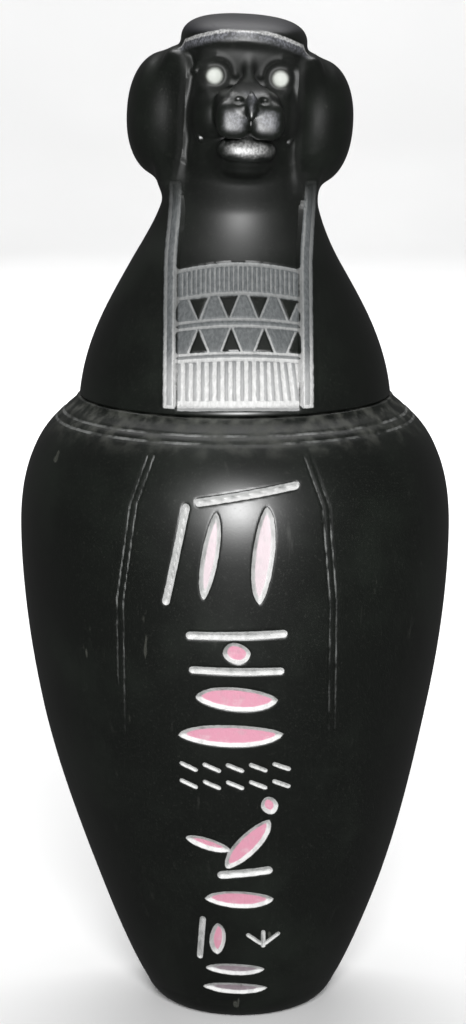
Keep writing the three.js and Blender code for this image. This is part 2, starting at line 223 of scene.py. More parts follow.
def headband(point):
    """The strip round the front of the cap."""
    _, y, z = point
    top = z - band_foot(point) - BAND_WIDTH
    strip = both(both(beyond_band(point), top, 0.7), under_band(point), 0.7)
    return both(strip, y + 6, 0.8)


def crest_x(z):
    return CREST[0] + 2 * (1 - smoothstep(z, 298, 314))


def wig_edge(paired):
    """The wig's edge: a crest beside the face that slopes back to the mane and ends over the hem."""
    x, y, z = paired
    beside = x - crest_x(z)
    slope = EDGE_SLOPE[0] * np.abs(beside) - EDGE_SLOPE[1] * (y - CREST[1])
    return both(slope, boulder(paired, (22, -3, 322), (8, 17, 25.5), 3), 2)


def upper_lip_and_nose(point, paired):
    """Two flat-fronted lobes beside a groove, under a nose with its nostrils."""
    x, y, z = point
    snout = boulder((x, y - 0.1 * (z - 327), z), (0, -26, 327.2), (11.5, 14.8, 8.5), 3)
    leaning = (paired[0], y - 0.18 * (z - 325.6), z)
    lobes = boulder(leaning, (5.5, -38.2, 325.4), (6.2, 4.2, 6.6), 2.8)
    sloping = (x, y, z - 0.45 * (y + 35))
    nose = boulder(sloping, (0, -35, 332.4), (7.4, 7.4, 3.3), 2.4)
    septum = boulder((x, y - 0.4 * (z - 330), z), (0, -41.6, 330), (1.8, 2, 4.6), 2.2)
    nostrils = boulder(paired, (4.6, -42.4, 332.4), (2.5, 3.4, 1.8))
    upper = carve(blend(blend(snout, lobes, 1.4), nose, 1.2), nostrils, 0.6)
    return blend(upper, septum, 0.8)


def face(point):
    """Face and muzzle, around the middle plane of the face."""
    paired = (np.abs(point[0]), point[1], point[2])
    cheeks = boulder(paired, (9.5, -17.5, 325), (9.2, 9.5, 9), 2.2)
    jaw = boulder(point, (0, -12, 310.5), (18.8, 13, 9.4), 2.6)
    chin = boulder(point, (0, -20, 311), (10.8, 13.4, 7), 2.3)
    forehead = boulder(point, (0, -10, 350), (18.6, 14.6, 16), 2.5)
    forehead = both(forehead, point[2] - 352, 2)
    leaning = (point[0], point[1] - 0.16 * (point[2] - 314.8), point[2])
    lower_lip = boulder(leaning, (0, -31, 314.8), (10, 5, 4.4), 2.6)
    shape = boulder(point, (0, -4.6, 327), (19.8, 17.2, 24.5), 3.4)
    shape = blend(blend(blend(shape, forehead, 2), cheeks, 5), jaw, 3)
    shape = blend(shape, chin, 4)
    shape = carve(shape, boulder(paired, (EYE[0], -26.2, EYE[2] + 0.6), (7, 7, 6.4), 2.2), 0.6)
    shape = blend(shape, brows(paired), 1.6)
    shape = blend(shape, rod(point, (0, -21.8, 346), (0, -28.6, 335), 1.7), 2)
    shape = blend(shape, rod(paired, (2, -26.5, 336), (8.4, -28.5, 330), 2), 3)
    shape = blend(shape, lower_lip, 2)
    shape = blend(shape, upper_lip_and_nose(point, paired), 1)
    shape = mouth_corners(shape, paired)
    return blend(shape, boulder(paired, EYE, (EYE_RADIUS, EYE_RADIUS, EYE_RADIUS)), 1)


def brows(paired):
    """An arched rim over each eye."""
    x, y, z = paired
    ahead = y + 22.4 - 0.9 * np.maximum(x - EYE[0], 0)
    ring = np.hypot(np.hypot(x - EYE[0], z - EYE[2]) - 7, ahead)
    return np.hypot(ring, np.maximum(EYE[2] + 1 - z, 0)) - 0.7


def mouth_corners(shape, paired):
    """The mouth's line runs on past the lips and ends at a small fold."""
    shape = carve(shape, rod(paired, (8, -31, 319.2), (15.2, -22.4, 317.8), 0.7), 0.6)
    return blend(shape, rod(paired, (15.4, -21.2, 317), (16, -20.8, 318.2), 1), 0.8)


def leant(point):
    """Leans a point with the head, towards +X, round the head's own middle."""
    x, y, z = point
    up = z - ROLL_HEIGHT
    across = x - HEAD_DRIFT
    cos, sin = math.cos(HEAD_ROLL), math.sin(HEAD_ROLL)
    return across * cos - up * sin, y, ROLL_HEIGHT + up * cos + across * sin


def turned(point):
    """Turns a leant point into the face's own frame."""
    x, y, z = point
    cos, sin = math.cos(FACE_TURN), math.sin(FACE_TURN)
    return x * cos + y * sin, y * cos - x * sin, z


def lid_distance(point):
    x, y, z = leant(point)
    head = blend(skull((x, y, z)), wig_edge((np.abs(x), y, z)), 3)
    return blend(blend(head, wig(point), 5), face(turned((x, y, z))), 2)


# ---- The collar on the chest panel ----

COLLAR_TOP = 275.8
COLLAR_LINES = (  # height and half thickness of each line across the panel
    (275.2, 0.75), (265.7, 0.6), (257.4, 0.5), (255.2, 0.55), (246.6, 0.5), (244.6, 0.65), (229.9, 1.2),
)
UPPER_TRIANGLES = (264.8, 258.0, 10.4, -13.7)  # base, point, pitch and the place of the first
LOWER_TRIANGLES = (247.2, 254.4, 11.4, -13.8)
TRIANGLE_HALF = 3.0
FRINGE = (243.9, 231.0, 2.72, 0.82)  # top, foot, pitch and half a stroke's width
FINE_STROKES = (274.4, 266.4, 1.62, 0.36)
TRIANGLE_EDGE = 0.42  # half the thickness of the line round a triangle
SCRATCH_DEPTH = 0.22
LINE_DEPTH = 0.3


def arched(u, z):
    """Height with the collar's arch taken out: its bands rise towards their middle."""
    arch = np.interp(z, [230, 275], [0.6, 3.2])
    return z + arch * (u / PANEL_HALF) ** 2


def row_of_strokes(u, z, top, foot, pitch, half):
    """Signed distance into a row of upright strokes, positive inside."""
    beside = half - np.abs((u + pitch / 2) % pitch - pitch / 2)
    return np.minimum(beside, np.minimum(top - z, z - foot))


def row_of_triangles(u, z, base, tip, pitch, first):
    """Signed distance into a row of triangles, positive inside."""
    from_middle = np.abs((u - first + pitch / 2) % pitch - pitch / 2)
    height = abs(base - tip)
    along = (z - tip) * math.copysign(1, base - tip)
    lean = TRIANGLE_HALF / height
    beside = (along * lean - from_middle) / math.hypot(1, lean)
    return np.minimum(beside, height - along)


def collar(u, height):
    """Signed distances, in millimetres, into the collar's bright lines and its scratched ground."""
    z = arched(u, height)
    inside = np.minimum(PANEL_HALF - 0.4 - np.abs(u), np.minimum(COLLAR_TOP - z, z - PANEL_FOOT))
    line = np.full_like(z, OUTSIDE)
    for middle, half in COLLAR_LINES:
        line = np.maximum(line, half - np.abs(z - middle))
    line = np.maximum(line, row_of_strokes(u, z, *FINE_STROKES))
    slanted = u + 0.12 * (z - FRINGE[1]) * smoothstep(u, 6, 18)
    line = np.maximum(line, row_of_strokes(slanted, z, *FRINGE))
    dark = np.full_like(z, OUTSIDE)
    for row in (UPPER_TRIANGLES, LOWER_TRIANGLES):
        inner = row_of_triangles(u, z, *row)
        dark = np.maximum(dark, inner)
        edge = TRIANGLE_EDGE - np.abs(inner + 0.5)
        between = np.minimum(z - min(row[:2]) + 0.3, max(row[:2]) - z + 0.3)
        line = np.maximum(line, np.minimum(edge, between))
    line = np.minimum(line, inside)
    ground = np.minimum(inside, -dark)
    return line, ground


def hem_fields(u, z):
    """Signed distances into the hem's band, and into the line along each of its edges."""
    from_middle = np.abs(u)
    band = np.minimum(from_middle - HEM_CORNERS[0], HEM_CORNERS[3] - from_middle)
    band = np.minimum(band, np.minimum(z - PANEL_FOOT, HEM_TOP - z))
    edge = 0.62 - np.abs(band - 0.85)
    return band, edge


def wear_and_highlight_fields(on_face):
    """Signed distances, in millimetres, into the muzzle's lobes and septum and into the lower lip, where
    wear and painted highlights are laid.
    """
    x, y, z = on_face
    lobes = 4.3 - (np.abs((np.abs(x) - 5.7) / 1.05) ** 3 + np.abs(z - 325.2) ** 3) ** (1 / 3)
    lip = 3.3 - np.hypot(x / 2.8, z - 315.2)
    beside_septum = np.maximum(np.abs(x) - 0.5 * np.maximum(z - 331, 0), 0)
    septum = 1.5 - np.hypot(beside_septum, np.maximum(329 - z, 0))
    septum = np.minimum(septum, 335.5 - z)
    on_muzzle = y < -30
    return {
        "wear_and_highlight": np.where(on_muzzle, np.maximum(lobes, septum), OUTSIDE),
        "lip": np.where(on_muzzle, lip, OUTSIDE),
    }


def head_fields(head, on_face):
    """Signed distances, in millimetres, into the head's painted and duller places, and into the places
    of wear and painted highlights.
    """
    x, y, z = head
    fx, fy, fz = on_face
    eye = EYE_DISC - np.hypot(np.abs(fx) - EYE[0], fz - EYE[2])
    brow = np.minimum(18 - np.abs(fx), fz - 334)
    in_front = np.minimum(-6 - y, beyond_band(head) + 2.2)
    in_front = np.minimum(in_front, np.minimum(BAND_RADII[0] + 0.6 - np.abs(x), z - 343))
    by_crest = (y < -6) & (z < 350) & (z > 298)
    return {
        "eye": np.where(fy < -5, eye, OUTSIDE),
        "brow": np.where(fy < -8, brow, OUTSIDE),
        "below_top": band_foot(head) + BAND_WIDTH - z,
        "band_front": in_front,
        "matt": np.where(by_crest, 3.2 - np.abs(np.abs(x) - crest_x(z)), OUTSIDE),
        **wear_and_highlight_fields(on_face),
    }


# ---- The lid's mesh ----

FACE_COLUMNS = 132
HEM_COLUMNS = (2, 9, 2)
BACK_COLUMNS = 84
FACE_CROWDING = 0.36
BACK_CROWDING = 0.4


def crowded_steps(start, end, count, crowding):
    """Steps that stand closer together in the middle, or for a crowding below 0 at both ends."""
    s = np.linspace(-1, 1, count, endpoint=False)
    return (start + end) / 2 + (end - start) / 2 * (s - crowding * np.sin(np.pi * s) / np.pi)


def turn_at(across, z):
    """Where a point of the wig's front, so far to one side, stands round the lid's middle."""
    reach = min(abs(across) / wig_side(z), 0.97)
    return math.atan2(across, wig_front(z) * math.sqrt(1 - reach**2))


def even_steps(stops, counts):
    """Even steps from stop to stop, so many in each gap."""
    gaps = zip(stops, stops[1:], counts)
    return [np.linspace(start, end, count, endpoint=False) for start, end, count in gaps]


def lid_turns(z):
    """Directions round the lid at a height, kept to the corners of the hems and of the wig's edges."""
    on_head = smoothstep(z, *HEM_END)
    crest = math.degrees(math.atan2(crest_x(z), -CREST[1]))
    sides = []
    for side in (-1, 1):
        on_wig = [turn_at(PANEL_MIDDLE + side * corner, z) for corner in HEM_CORNERS]
        on_edge = [side * math.radians(crest + turn) for turn in EDGE_TURNS]
        sides.append([w + (e - w) * on_head for w, e in zip(on_wig, on_edge)])
    left, right = sides[0][::-1], sides[1]
    return np.concatenate([
        *even_steps(left, HEM_COLUMNS[::-1]),
        crowded_steps(left[-1], right[0], FACE_COLUMNS, FACE_CROWDING),
        *even_steps(right, HEM_COLUMNS),
        crowded_steps(right[-1], left[0] + 2 * np.pi, BACK_COLUMNS, -BACK_CROWDING),
    ])


def lid_rays():
    """Origins and directions of the rays that find the carved surface, ring by ring."""
    heights = np.concatenate([
        np.linspace(LID_SEAT + LID_EDGE, PANEL_FOOT, 4),
        np.linspace(PANEL_FOOT + 0.5, 277, 104),
        np.linspace(278, NECK_HEIGHT - 4, 17),
        np.linspace(NECK_HEIGHT - 3.4, HEAD_HEIGHT, 84),
    ])
    rises = np.radians(np.linspace(1.1, 86, 66))
    rings = [(z, 0.0) for z in heights] + [(HEAD_HEIGHT, rise) for rise in rises]
    origins, directions = [], []
    for z, rise in rings:
        roll = HEAD_ROLL * smoothstep(z, NECK_HEIGHT - 18, NECK_HEIGHT + 6)
        middle = head_drift(z) + (z - ROLL_HEIGHT) * math.sin(roll)
        turns = lid_turns(z)
        across, up = np.sin(turns) * math.cos(rise), math.sin(rise)
        ahead = -np.cos(turns) * math.cos(rise)
        directions.append(np.stack([
            across * math.cos(roll) + up * math.sin(roll),
            ahead,
            up * math.cos(roll) - across * math.sin(roll),
        ], axis=1))
        origins.append(np.tile((float(middle), 0.0, z), (len(turns), 1)))
    return np.array(origins), np.array(directions)


def surface_along(origins, directions):
    """Where each ray leaves the stone: stepped inwards from outside, then halved."""
    outside = np.full(len(origins), 72.0)
    inside = np.zeros(len(origins))
    going = np.arange(len(origins))
    while len(going):
        place = origins[going] + outside[going, None] * directions[going]
        gap = lid_distance(tuple(place.T))
        step = np.maximum(gap * 0.7, 0.3)
        met = (gap <= 0) | (outside[going] < 1)
        inside[going[met]] = outside[going[met]]
        outside[going[met]] += 0.4
        going, step = going[~met], step[~met]
        outside[going] -= step
    for _ in range(11):
        middle = (inside + outside) / 2
        solid = lid_distance(tuple((origins + middle[:, None] * directions).T)) <= 0
        inside, outside = np.where(solid, middle, inside), np.where(solid, outside, middle)
    return origins + inside[:, None] * directions


def lid_underside():
    """The (radius, height) points below the carving: the spigot, the seat and the lid's edge."""
    return [
        (SPIGOT_RADIUS * 0.5, SPIGOT_FOOT),
        (SPIGOT_RADIUS - 1.2, SPIGOT_FOOT),
        (SPIGOT_RADIUS - 0.6, SPIGOT_FOOT + 0.2),
        (SPIGOT_RADIUS - 0.2, SPIGOT_FOOT + 0.6),
        (SPIGOT_RADIUS, SPIGOT_FOOT + 1.2),
        (SPIGOT_RADIUS, LID_SEAT - 0.6),
        (SPIGOT_RADIUS + 0.6, LID_SEAT),
        (LID_RADIUS - 3, LID_SEAT),
        (LID_RADIUS - LID_EDGE, LID_SEAT),
        (LID_RADIUS - 0.4, LID_SEAT + 0.2),
        (LID_RADIUS - 0.15, LID_SEAT + 0.45),
    ]


def crown_point():
    """The top of the head, on its leant axis."""
    lean = math.sin(HEAD_ROLL)
    middle = HEAD_DRIFT + (HEAD_HEIGHT - ROLL_HEIGHT) * lean
    start = np.array([[middle, 0.0, HEAD_HEIGHT]])
    upwards = np.array([[lean, 0.0, math.cos(HEAD_ROLL)]])
    return surface_along(start, upwards)[0]


def make_lid():
    origins, directions = lid_rays()
    rings, columns = origins.shape[:2]
    carved = surface_along(origins.reshape(-1, 3), directions.reshape(-1, 3)).reshape(rings, columns, 3)
    turns = lid_turns(LID_SEAT)
    plain = [
        np.stack([r * np.sin(turns), -r * np.cos(turns), np.full(columns, z)], 1)
        for r, z in lid_underside()
    ]
    grid = np.concatenate([np.array(plain), carved])
    lid = ball_of_rings("baboon_lid", len(grid), columns)
    place_rings(lid, grid, (0, 0, SPIGOT_FOOT), crown_point())
    return lid


def ball_of_rings(name, rings, columns):
    """A sphere primitive with that many rings of points between its poles."""
    bpy.ops.object.select_all(action="DESELECT")
    bpy.ops.mesh.primitive_uv_sphere_add(segments=columns, ring_count=rings + 1, radius=1)
    ball = bpy.context.object
    ball.name = ball.data.name = name
    return ball


def points_of(piece):
    points = np.empty(len(piece.data.vertices) * 3)
    piece.data.vertices.foreach_get("co", points)
    return points.reshape(-1, 3)


def move_points(piece, points):
    piece.data.vertices.foreach_set("co", np.ascontiguousarray(points, dtype=np.float32).ravel())
    piece.data.update()


def place_rings(ball, grid, first_pole, last_pole):
    """Moves the sphere's rings to the grid's, in millimetres. Each runs from one turn round +Z."""
    start = points_of(ball)
    rings, columns = grid.shape[:2]
    up = np.arccos(np.clip(-start[:, 2], -1, 1)) / np.pi * (rings + 1)
    ring = np.rint(up).astype(int)
    column = np.rint(np.arctan2(start[:, 0], -start[:, 1]) / (2 * np.pi) * columns).astype(int) % columns
    placed = grid[np.clip(ring - 1, 0, rings - 1), column]
    placed[ring == 0] = first_pole
    placed[ring == rings + 1] = last_pole
    move_points(ball, placed * MM)


def add_field(piece, name, values):
    """Stores one number at each point, for the materials."""
    layer = piece.data.attributes.new(name, "FLOAT", "POINT")
    layer.data.foreach_set("value", values.astype(np.float32))


def sink(piece, points, depths):
    """Moves points in towards the piece's upright axis. All is in millimetres."""
    outward = points * (1, 1, 0)
    outward /= np.maximum(np.linalg.norm(outward, axis=1, keepdims=True), 1e-6)
    move_points(piece, (points - outward * depths[:, None]) * MM)


def dress_lid(lid):
    """Sinks the collar's scratches and stores the fields that the lid's material reads."""
    points = points_of(lid) / MM
    x, y, z = points.T
    u = x - head_drift(z) - PANEL_MIDDLE
    front = (y < 0) & (z > PANEL_FOOT - 3) & (z < HEM_TOP + 3)
    line, ground = collar(u, z)
    band, edge = hem_fields(u, z)
    line = np.maximum(line, np.minimum(edge, HEM_TOP - z))
    hem_end = np.where(z > 286, 2.6 - np.abs(np.abs(u) - PANEL_HALF), OUTSIDE)
    fields = {"line": line, "ground": ground, "hem": band, "hem_end": hem_end}
    fields = {name: np.where(front, field, OUTSIDE) for name, field in fields.items()}
    scratched = SCRATCH_DEPTH * smoothstep(fields["ground"], -0.25, 0.25)
    sink(lid, points, scratched + LINE_DEPTH * smoothstep(fields["line"], -0.3, 0.35))
    head = leant((x, y, z))
    fields.update(head_fields(head, turned(head)))
    for name, field in fields.items():
        add_field(lid, name, field)


# ---- The jar's form ----

MARK_ROWS = [  # height, then each stroke's x, length, width, tilt in degrees and shape
    (202.5, [(4, 36, 3, 9, "bar")]),
    (182, [(-20, 36, 3, 78, "bar"), (-8.5, 31, 5.6, 82, "leaf"), (9.5, 34, 7.2, 86, "leaf")]),
    (154.6, [(0.5, 35, 3.2, 1, "bar")]),
    (148.2, [(0.5, 10, 7.4, 0, "leaf")]),
    (141.8, [(0.5, 33, 3, -1, "bar")]),
    (131.6, [(0.5, 29, 8.4, -2, "leaf")]),
    (118, [(-1.5, 37, 8, 1, "leaf")]),
    (106, [(x, 7.4, 2, -24, "bar") for x in (-16, -8, 0, 8, 16)]),
    (99.4, [(x, 7.4, 2, -24, "bar") for x in (-16, -8, 0, 8, 16)]),
    (91.2, [(12, 6.6, 6.6, 0, "leaf")]),
    (76, [(-9.5, 17, 4.6, -14, "leaf"), (4.5, 25, 7.6, 52, "leaf")]),
    (64.6, [(3.5, 20, 3.6, 6, "bar")]),
    (53.6, [(1.5, 25, 6.8, 0, "leaf")]),
    (36.8, [(-12, 19, 2.6, 86, "bar"), (-6.2, 14, 5.6, 90, "leaf")]),
    (36.8, [(10 + 4 * math.cos(math.radians(tilt)), 8, 2, tilt, "bar") for tilt in (40, 90, 140)]),
    (23.6, [(0, 22, 5, 0, "leaf")]),
    (15, [(0, 24, 5, 0, "leaf")]),
]
PALE_ROW = 182  # the row whose leaves are filled with pale paint
PALE_TONE = 0.35
GREY_ROWS = 30  # below this height the paint has greyed

FRONT_ZONE = math.radians(66)
FRONT_STEPS = 150
BACK_STEPS = 54


def foot_drift(z):
    return FOOT_DRIFT * (1 - smoothstep(z, *DRIFT_HEIGHTS))


def evenly(curve, spacing):
    """The same curve with its points a given distance apart."""
    lengths = np.concatenate([[0], np.cumsum(np.linalg.norm(np.diff(curve, axis=0), axis=1))])
    places = np.linspace(0, lengths[-1], max(2, round(lengths[-1] / spacing) + 1))
    return np.stack([np.interp(places, lengths, curve[:, i]) for i in (0, 1)], 1)


def jar_profile():
    """The (radius, height) points of the jar's section, from under its foot to inside its floor."""
    t = np.linspace(0, 1, 20)[:, None]
    start, pull, end = np.array([[FOOT_RADIUS, 0], [31.4, 0.4], [35.2, FOOT_EDGE]], float)
    edge = (1 - t) ** 2 * start + 2 * (1 - t) * t * pull + t**2 * end
    wall = bezier([(35.2, FOOT_EDGE), (46.6, 28), (BELLY_RADIUS, 110), (BELLY_RADIUS, BELLY_HEIGHT)])
    shoulder = bezier([
        (BELLY_RADIUS, BELLY_HEIGHT),
        (BELLY_RADIUS, 215.3),
        (59, 220.5),
        (56.6, RIM_HEIGHT - 0.5),
    ])
    outside = evenly(np.concatenate([edge, wall[1:], shoulder[1:]]), 0.72)
    wide = BELLY_RADIUS - WALL
    throat = RIM_HEIGHT - THROAT_HEIGHT
    vault = bezier([(MOUTH_RADIUS, throat), (57, 205), (wide, 196), (wide, BELLY_HEIGHT - 4)])
    bowl = bezier([(wide, BELLY_HEIGHT - 4), (wide, 112), (27, 32), (15, FLOOR)])
    inside = evenly(np.concatenate([vault, bowl[1:]]), 5)
    rim = [
        (56.4, RIM_HEIGHT - 0.15),
        (56, RIM_HEIGHT),
        (48, RIM_HEIGHT),
        (MOUTH_RADIUS + 0.6, RIM_HEIGHT),
        (MOUTH_RADIUS + 0.1, RIM_HEIGHT - 0.3),
        (MOUTH_RADIUS, RIM_HEIGHT - 0.9),
    ]
    return np.concatenate([[(0, 0), (12, 0)], outside, rim, inside, [(0, FLOOR)]])


def select_all_points():
    bpy.ops.object.mode_set(mode="EDIT")
    bpy.ops.mesh.select_all(action="SELECT")


def spun_jar():
    """The jar's section spun round +Z: finely across the front, then more widely round the back."""
    profile = jar_profile() * MM
    turn = FRONT_ZONE / 2
    points = [(r * math.sin(turn), -r * math.cos(turn), z) for r, z in profile]
    mesh = bpy.data.meshes.new("stone_jar")
    mesh.from_pydata(points, [(i, i + 1) for i in range(len(points) - 1)], [])
    jar = bpy.data.objects.new("stone_jar", mesh)
    bpy.context.scene.collection.objects.link(jar)
    bpy.ops.object.select_all(action="DESELECT")
    jar.select_set(True)
    bpy.context.view_layer.objects.active = jar
    select_all_points()
    for steps, angle in ((FRONT_STEPS, FRONT_ZONE), (BACK_STEPS, 2 * math.pi - FRONT_ZONE)):
        bpy.ops.mesh.spin(steps=steps, angle=angle, center=(0, 0, 0), axis=(0, 0, 1))
    bpy.ops.mesh.select_all(action="SELECT")
    bpy.ops.mesh.remove_doubles(threshold=0.00002)
    bpy.ops.mesh.normals_make_consistent(inside=False)
    bpy.ops.object.mode_set(mode="OBJECT")
    return jar


def mark_outline(x, length, width, tilt, shape, z):
    """The outline of one cut stroke, as (x, z) points: a bar has round ends, a leaf has two points."""
    half, side = length / 2, width / 2
    if shape == "leaf":
        belly = 2 * side
        pull = half * 0.8
        lower = bezier([(-half, 0), (-pull, -belly * 0.55), (pull, -belly * 0.9), (half, 0)], 13)
        points = np.concatenate([lower[:-1], -lower[:-1]])
    else:
        turns = np.linspace(-np.pi / 2, np.pi / 2, 9)
        cap = np.stack([half - side + side * np.cos(turns), side * np.sin(turns)], 1)
        points = np.concatenate([cap, -cap])
    cos, sin = math.cos(math.radians(tilt)), math.sin(math.radians(tilt))
    return points @ np.array([[cos, sin], [-sin, cos]]) + (x, z)


def depth_into(outline, x, z):
    """Signed distance from each (x, z) point to a closed outline, positive inside it."""
    nearest = np.full(len(x), 1e9)
    inside = np.zeros(len(x), bool)
    for (ax, az), (bx, bz) in zip(outline, np.roll(outline, -1, axis=0)):
        ex, ez = bx - ax, bz - az
        share = np.clip(((x - ax) * ex + (z - az) * ez) / (ex * ex + ez * ez + 1e-12), 0, 1)
        nearest = np.minimum(nearest, np.hypot(x - ax - share * ex, z - az - share * ez))
        crosses = (az > z) != (bz > z)
        inside ^= crosses & (x < ax + ex * (z - az) / (ez if ez else 1e-12))
    return np.where(inside, nearest, -nearest)


RING_LINES = (218.0, 220.4)
RING_HALF = 0.42
FRAME_LINES = ((-1, 34.5, 39.2, 92), (1, 30.6, 33.4, 118))  # side, x at the top and at mid height, foot
FRAME_LINE_TOP = 214
FRAME_LINE_GAP = 2.2
FRAME_LINE_HALF = 0.34


def frame_line_fields(x, z):
    """Signed distance into the thin double lines beside the column of strokes, positive inside."""
    line = np.full(len(x), OUTSIDE)
    for side, top_x, middle_x, foot in FRAME_LINES:
        heights = [foot, 165, 198, FRAME_LINE_TOP]
        path = np.interp(z, heights, [middle_x, middle_x, top_x, top_x - 6])
        for offset in (-FRAME_LINE_GAP / 2, FRAME_LINE_GAP / 2):
            across = FRAME_LINE_HALF - np.abs(x - side * (path + offset))
            line = np.maximum(line, np.minimum(across, np.minimum(z - foot, FRAME_LINE_TOP - z)))
    return line


def paint_tone(shape, height):
    """How a stroke's floor is painted: 1 pink, less than 1 paler, 0 bare and -1 greyed."""
    if height < GREY_ROWS:
        return -1.0
    if shape == "bar":
        return 0.0
    return PALE_TONE if height == PALE_ROW else 1.0


def stroke_fields(x, z, front):
    """Signed distance into the cut strokes, their floors' paint, and which walls face upwards."""
    cut = np.full(len(x), OUTSIDE)
    paint = np.zeros(len(x))
    lower_side = np.zeros(len(x))
    for height, marks in MARK_ROWS:
        for mark in marks:
            near = np.flatnonzero(front & (np.hypot(x - mark[0], z - height) < mark[1] / 2 + 4))
            stroke = mark_outline(*mark, height)
            depth = depth_into(stroke, x[near], z[near])
            rise = depth_into(stroke, x[near] - 0.1, z[near] + 0.3) - depth
            closer = depth > cut[near]
            cut[near[closer]] = depth[closer]
            lower_side[near[closer]] = smoothstep(rise[closer], -0.2, 0.25)
            paint[near[closer]] = paint_tone(mark[4], height)
    return cut, paint, lower_side


def dress_jar(jar):
    """Cuts the strokes and lines into the jar and stores the fields that its material reads."""
    points = points_of(jar) / MM
    radius = np.hypot(points[:, 0], points[:, 1])
    points[:, 0] += foot_drift(points[:, 2])
    x, y, z = points.T
    outline = jar_profile()
    top = np.argmax(outline[:, 1] >= RIM_HEIGHT - 0.5)
    outer = radius > np.interp(z, outline[:top, 1], outline[:top, 0]) - 2
    front = outer & (y < 0) & (z > 5)
    cut, paint, lower_side = stroke_fields(x, z, front)
    line = np.where(front, frame_line_fields(x, z), OUTSIDE)
    for height in RING_LINES:
        line = np.maximum(line, np.where(outer, RING_HALF - np.abs(z - height), OUTSIDE))
    strokes = MARK_DEPTH * smoothstep(cut, 0, MARK_BEVEL)
    sink(jar, points, strokes + SCRATCH_DEPTH * smoothstep(line, -0.25, 0.35))
    for name, field in (("cut", cut), ("paint", paint), ("lower_side", lower_side), ("line", line)):
        add_field(jar, name, field)


# ---- Materials ----


class Value:
    """A shader socket that Python's operators work on."""

    def __init__(self, shader, socket):
        self.shader = shader
        self.socket = socket

    def math(self, operation, *others):
        terms = dict(enumerate((self, *others)))
        return self.shader.node("ShaderNodeMath", {"operation": operation}, terms)

    def __add__(self, other):
        return self.math("ADD", other)

    def __radd__(self, other):
        return self.math("ADD", other)

    def __sub__(self, other):
        return self.math("SUBTRACT", other)

    def __rsub__(self, other):
        return self.shader.node("ShaderNodeMath", {"operation": "SUBTRACT"}, {0: other, 1: self})

    def __mul__(self, other):
        return self.math("MULTIPLY", other)

    def __rmul__(self, other):
        return self.math("MULTIPLY", other)

    def larger(self, other):
        return self.math("MAXIMUM", other)

    def between(self, low, high):
        """0 below low, 1 above high, and smooth between them."""
        settings = {"interpolation_type": "SMOOTHSTEP"}
        values = {"Value": self, "From Min": low, "From Max": high}
        return self.shader.node("ShaderNodeMapRange", settings, values)


class Shader:
    """One material's nodes."""

    def __init__(self, name):
        self.material = bpy.data.materials.new(name)
        self.material.use_nodes = True
        self.tree = self.material.node_tree
        self.surface = self.tree.nodes["Principled BSDF"]
        self.place = self.node("ShaderNodeTexCoord", {}, {}, "Object")

    def node(self, kind, settings, values, output=0):
        made = self.tree.nodes.new(kind)
        for name, setting in settings.items():
            setattr(made, name, setting)
        for name, value in values.items():
            self.fill(made.inputs[name], value)
        return Value(self, made.outputs[output])

    def fill(self, socket, value):
        if isinstance(value, Value):
            self.tree.links.new(value.socket, socket)
        else:
            socket.default_value = value

    def set(self, **values):
        for name, value in values.items():
            self.fill(self.surface.inputs[name.replace("_", " ")], value)

    def noise(self, scale, detail=3, stretch=(1, 1, 1)):
        where = self.node("ShaderNodeMapping", {}, {"Vector": self.place, "Scale": stretch})
        values = {"Vector": where, "Scale": scale, "Detail": detail, "Roughness": 0.55}
        return self.node("ShaderNodeTexNoise", {}, values)

    def field(self, name):
        return self.node("ShaderNodeAttribute", {"attribute_name": name}, {}, "Fac")

    def mix(self, share, first, second):
        """A colour between two, by share."""
        return self.node("ShaderNodeMix", {"data_type": "RGBA"}, {0: share, 6: first, 7: second}, 2)

    def axis(self, index):
        return self.node("ShaderNodeSeparateXYZ", {}, {"Vector": self.place}, index)

    def finish_stone(self, base, rough, grain):
        """Sets the surface: its colour, its roughness, and a bump from the grain."""
        bump = {"Height": grain, "Strength": GRAIN_STRENGTH, "Distance": GRAIN_DEPTH}
        normal = self.node("ShaderNodeBump", {}, bump, "Normal")
        self.set(Base_Color=base, Roughness=rough, Normal=normal, Specular_IOR_Level=STONE_GLOSS)


def colour(red, green, blue):
    return (red, green, blue, 1)


BLACK_STONE = colour(0.0032, 0.0042, 0.0032)
GREY_STONE = colour(0.0085, 0.012, 0.0085)
# A bluish tone for the cap's top: a painted reflection of the light overhead.
CAP_OVERHEAD_REFLECTION = colour(0.014, 0.0135, 0.020)
# A pale grey for places of wear that also stand for painted highlights: the headband's face and the
# muzzle's lobes and septum.
WEAR_AND_HIGHLIGHT_STONE = colour(0.27, 0.275, 0.31)
DUST = colour(0.075, 0.078, 0.066)
SCRATCHED = colour(0.100, 0.107, 0.109)
FAINTLY_SCRATCHED = colour(0.06, 0.066, 0.068)
SILVER = colour(0.56, 0.56, 0.555)
DULL_SILVER = colour(0.19, 0.195, 0.19)
PINK = colour(0.50, 0.215, 0.29)
PALE_PINK = colour(0.50, 0.42, 0.445)
GREYED_PINK = colour(0.20, 0.16, 0.18)
EYE_WHITE = colour(0.48, 0.50, 0.465)
PALE_PAPER = colour(0.84, 0.84, 0.84)
PALER_PAPER = colour(0.87, 0.87, 0.87)

POLISH = 0.34  # the stone's roughness where it is cleanest
STONE_GLOSS = 0.66
GRAIN_STRENGTH = 0.35
GRAIN_DEPTH = 0.0002

# Heights, in metres, between which a finish comes in or fades.
LEDGE = (0.2115, 0.2215)
FRAME_LINES_CLEAR = (0.105, 0.175)
FRINGE_END = (0.236, 0.250)
WHITE_END = (0.236, 0.262)
THROAT_START, THROAT_END = (0.270, 0.282), (0.298, 0.312)
EDGE_LINE_END = (0.284, 0.303)
HEM_SCRATCH_END = (0.288, 0.304)
BROW_END = (0.348, 0.351)
CAP_START = (0.353, 0.3555)


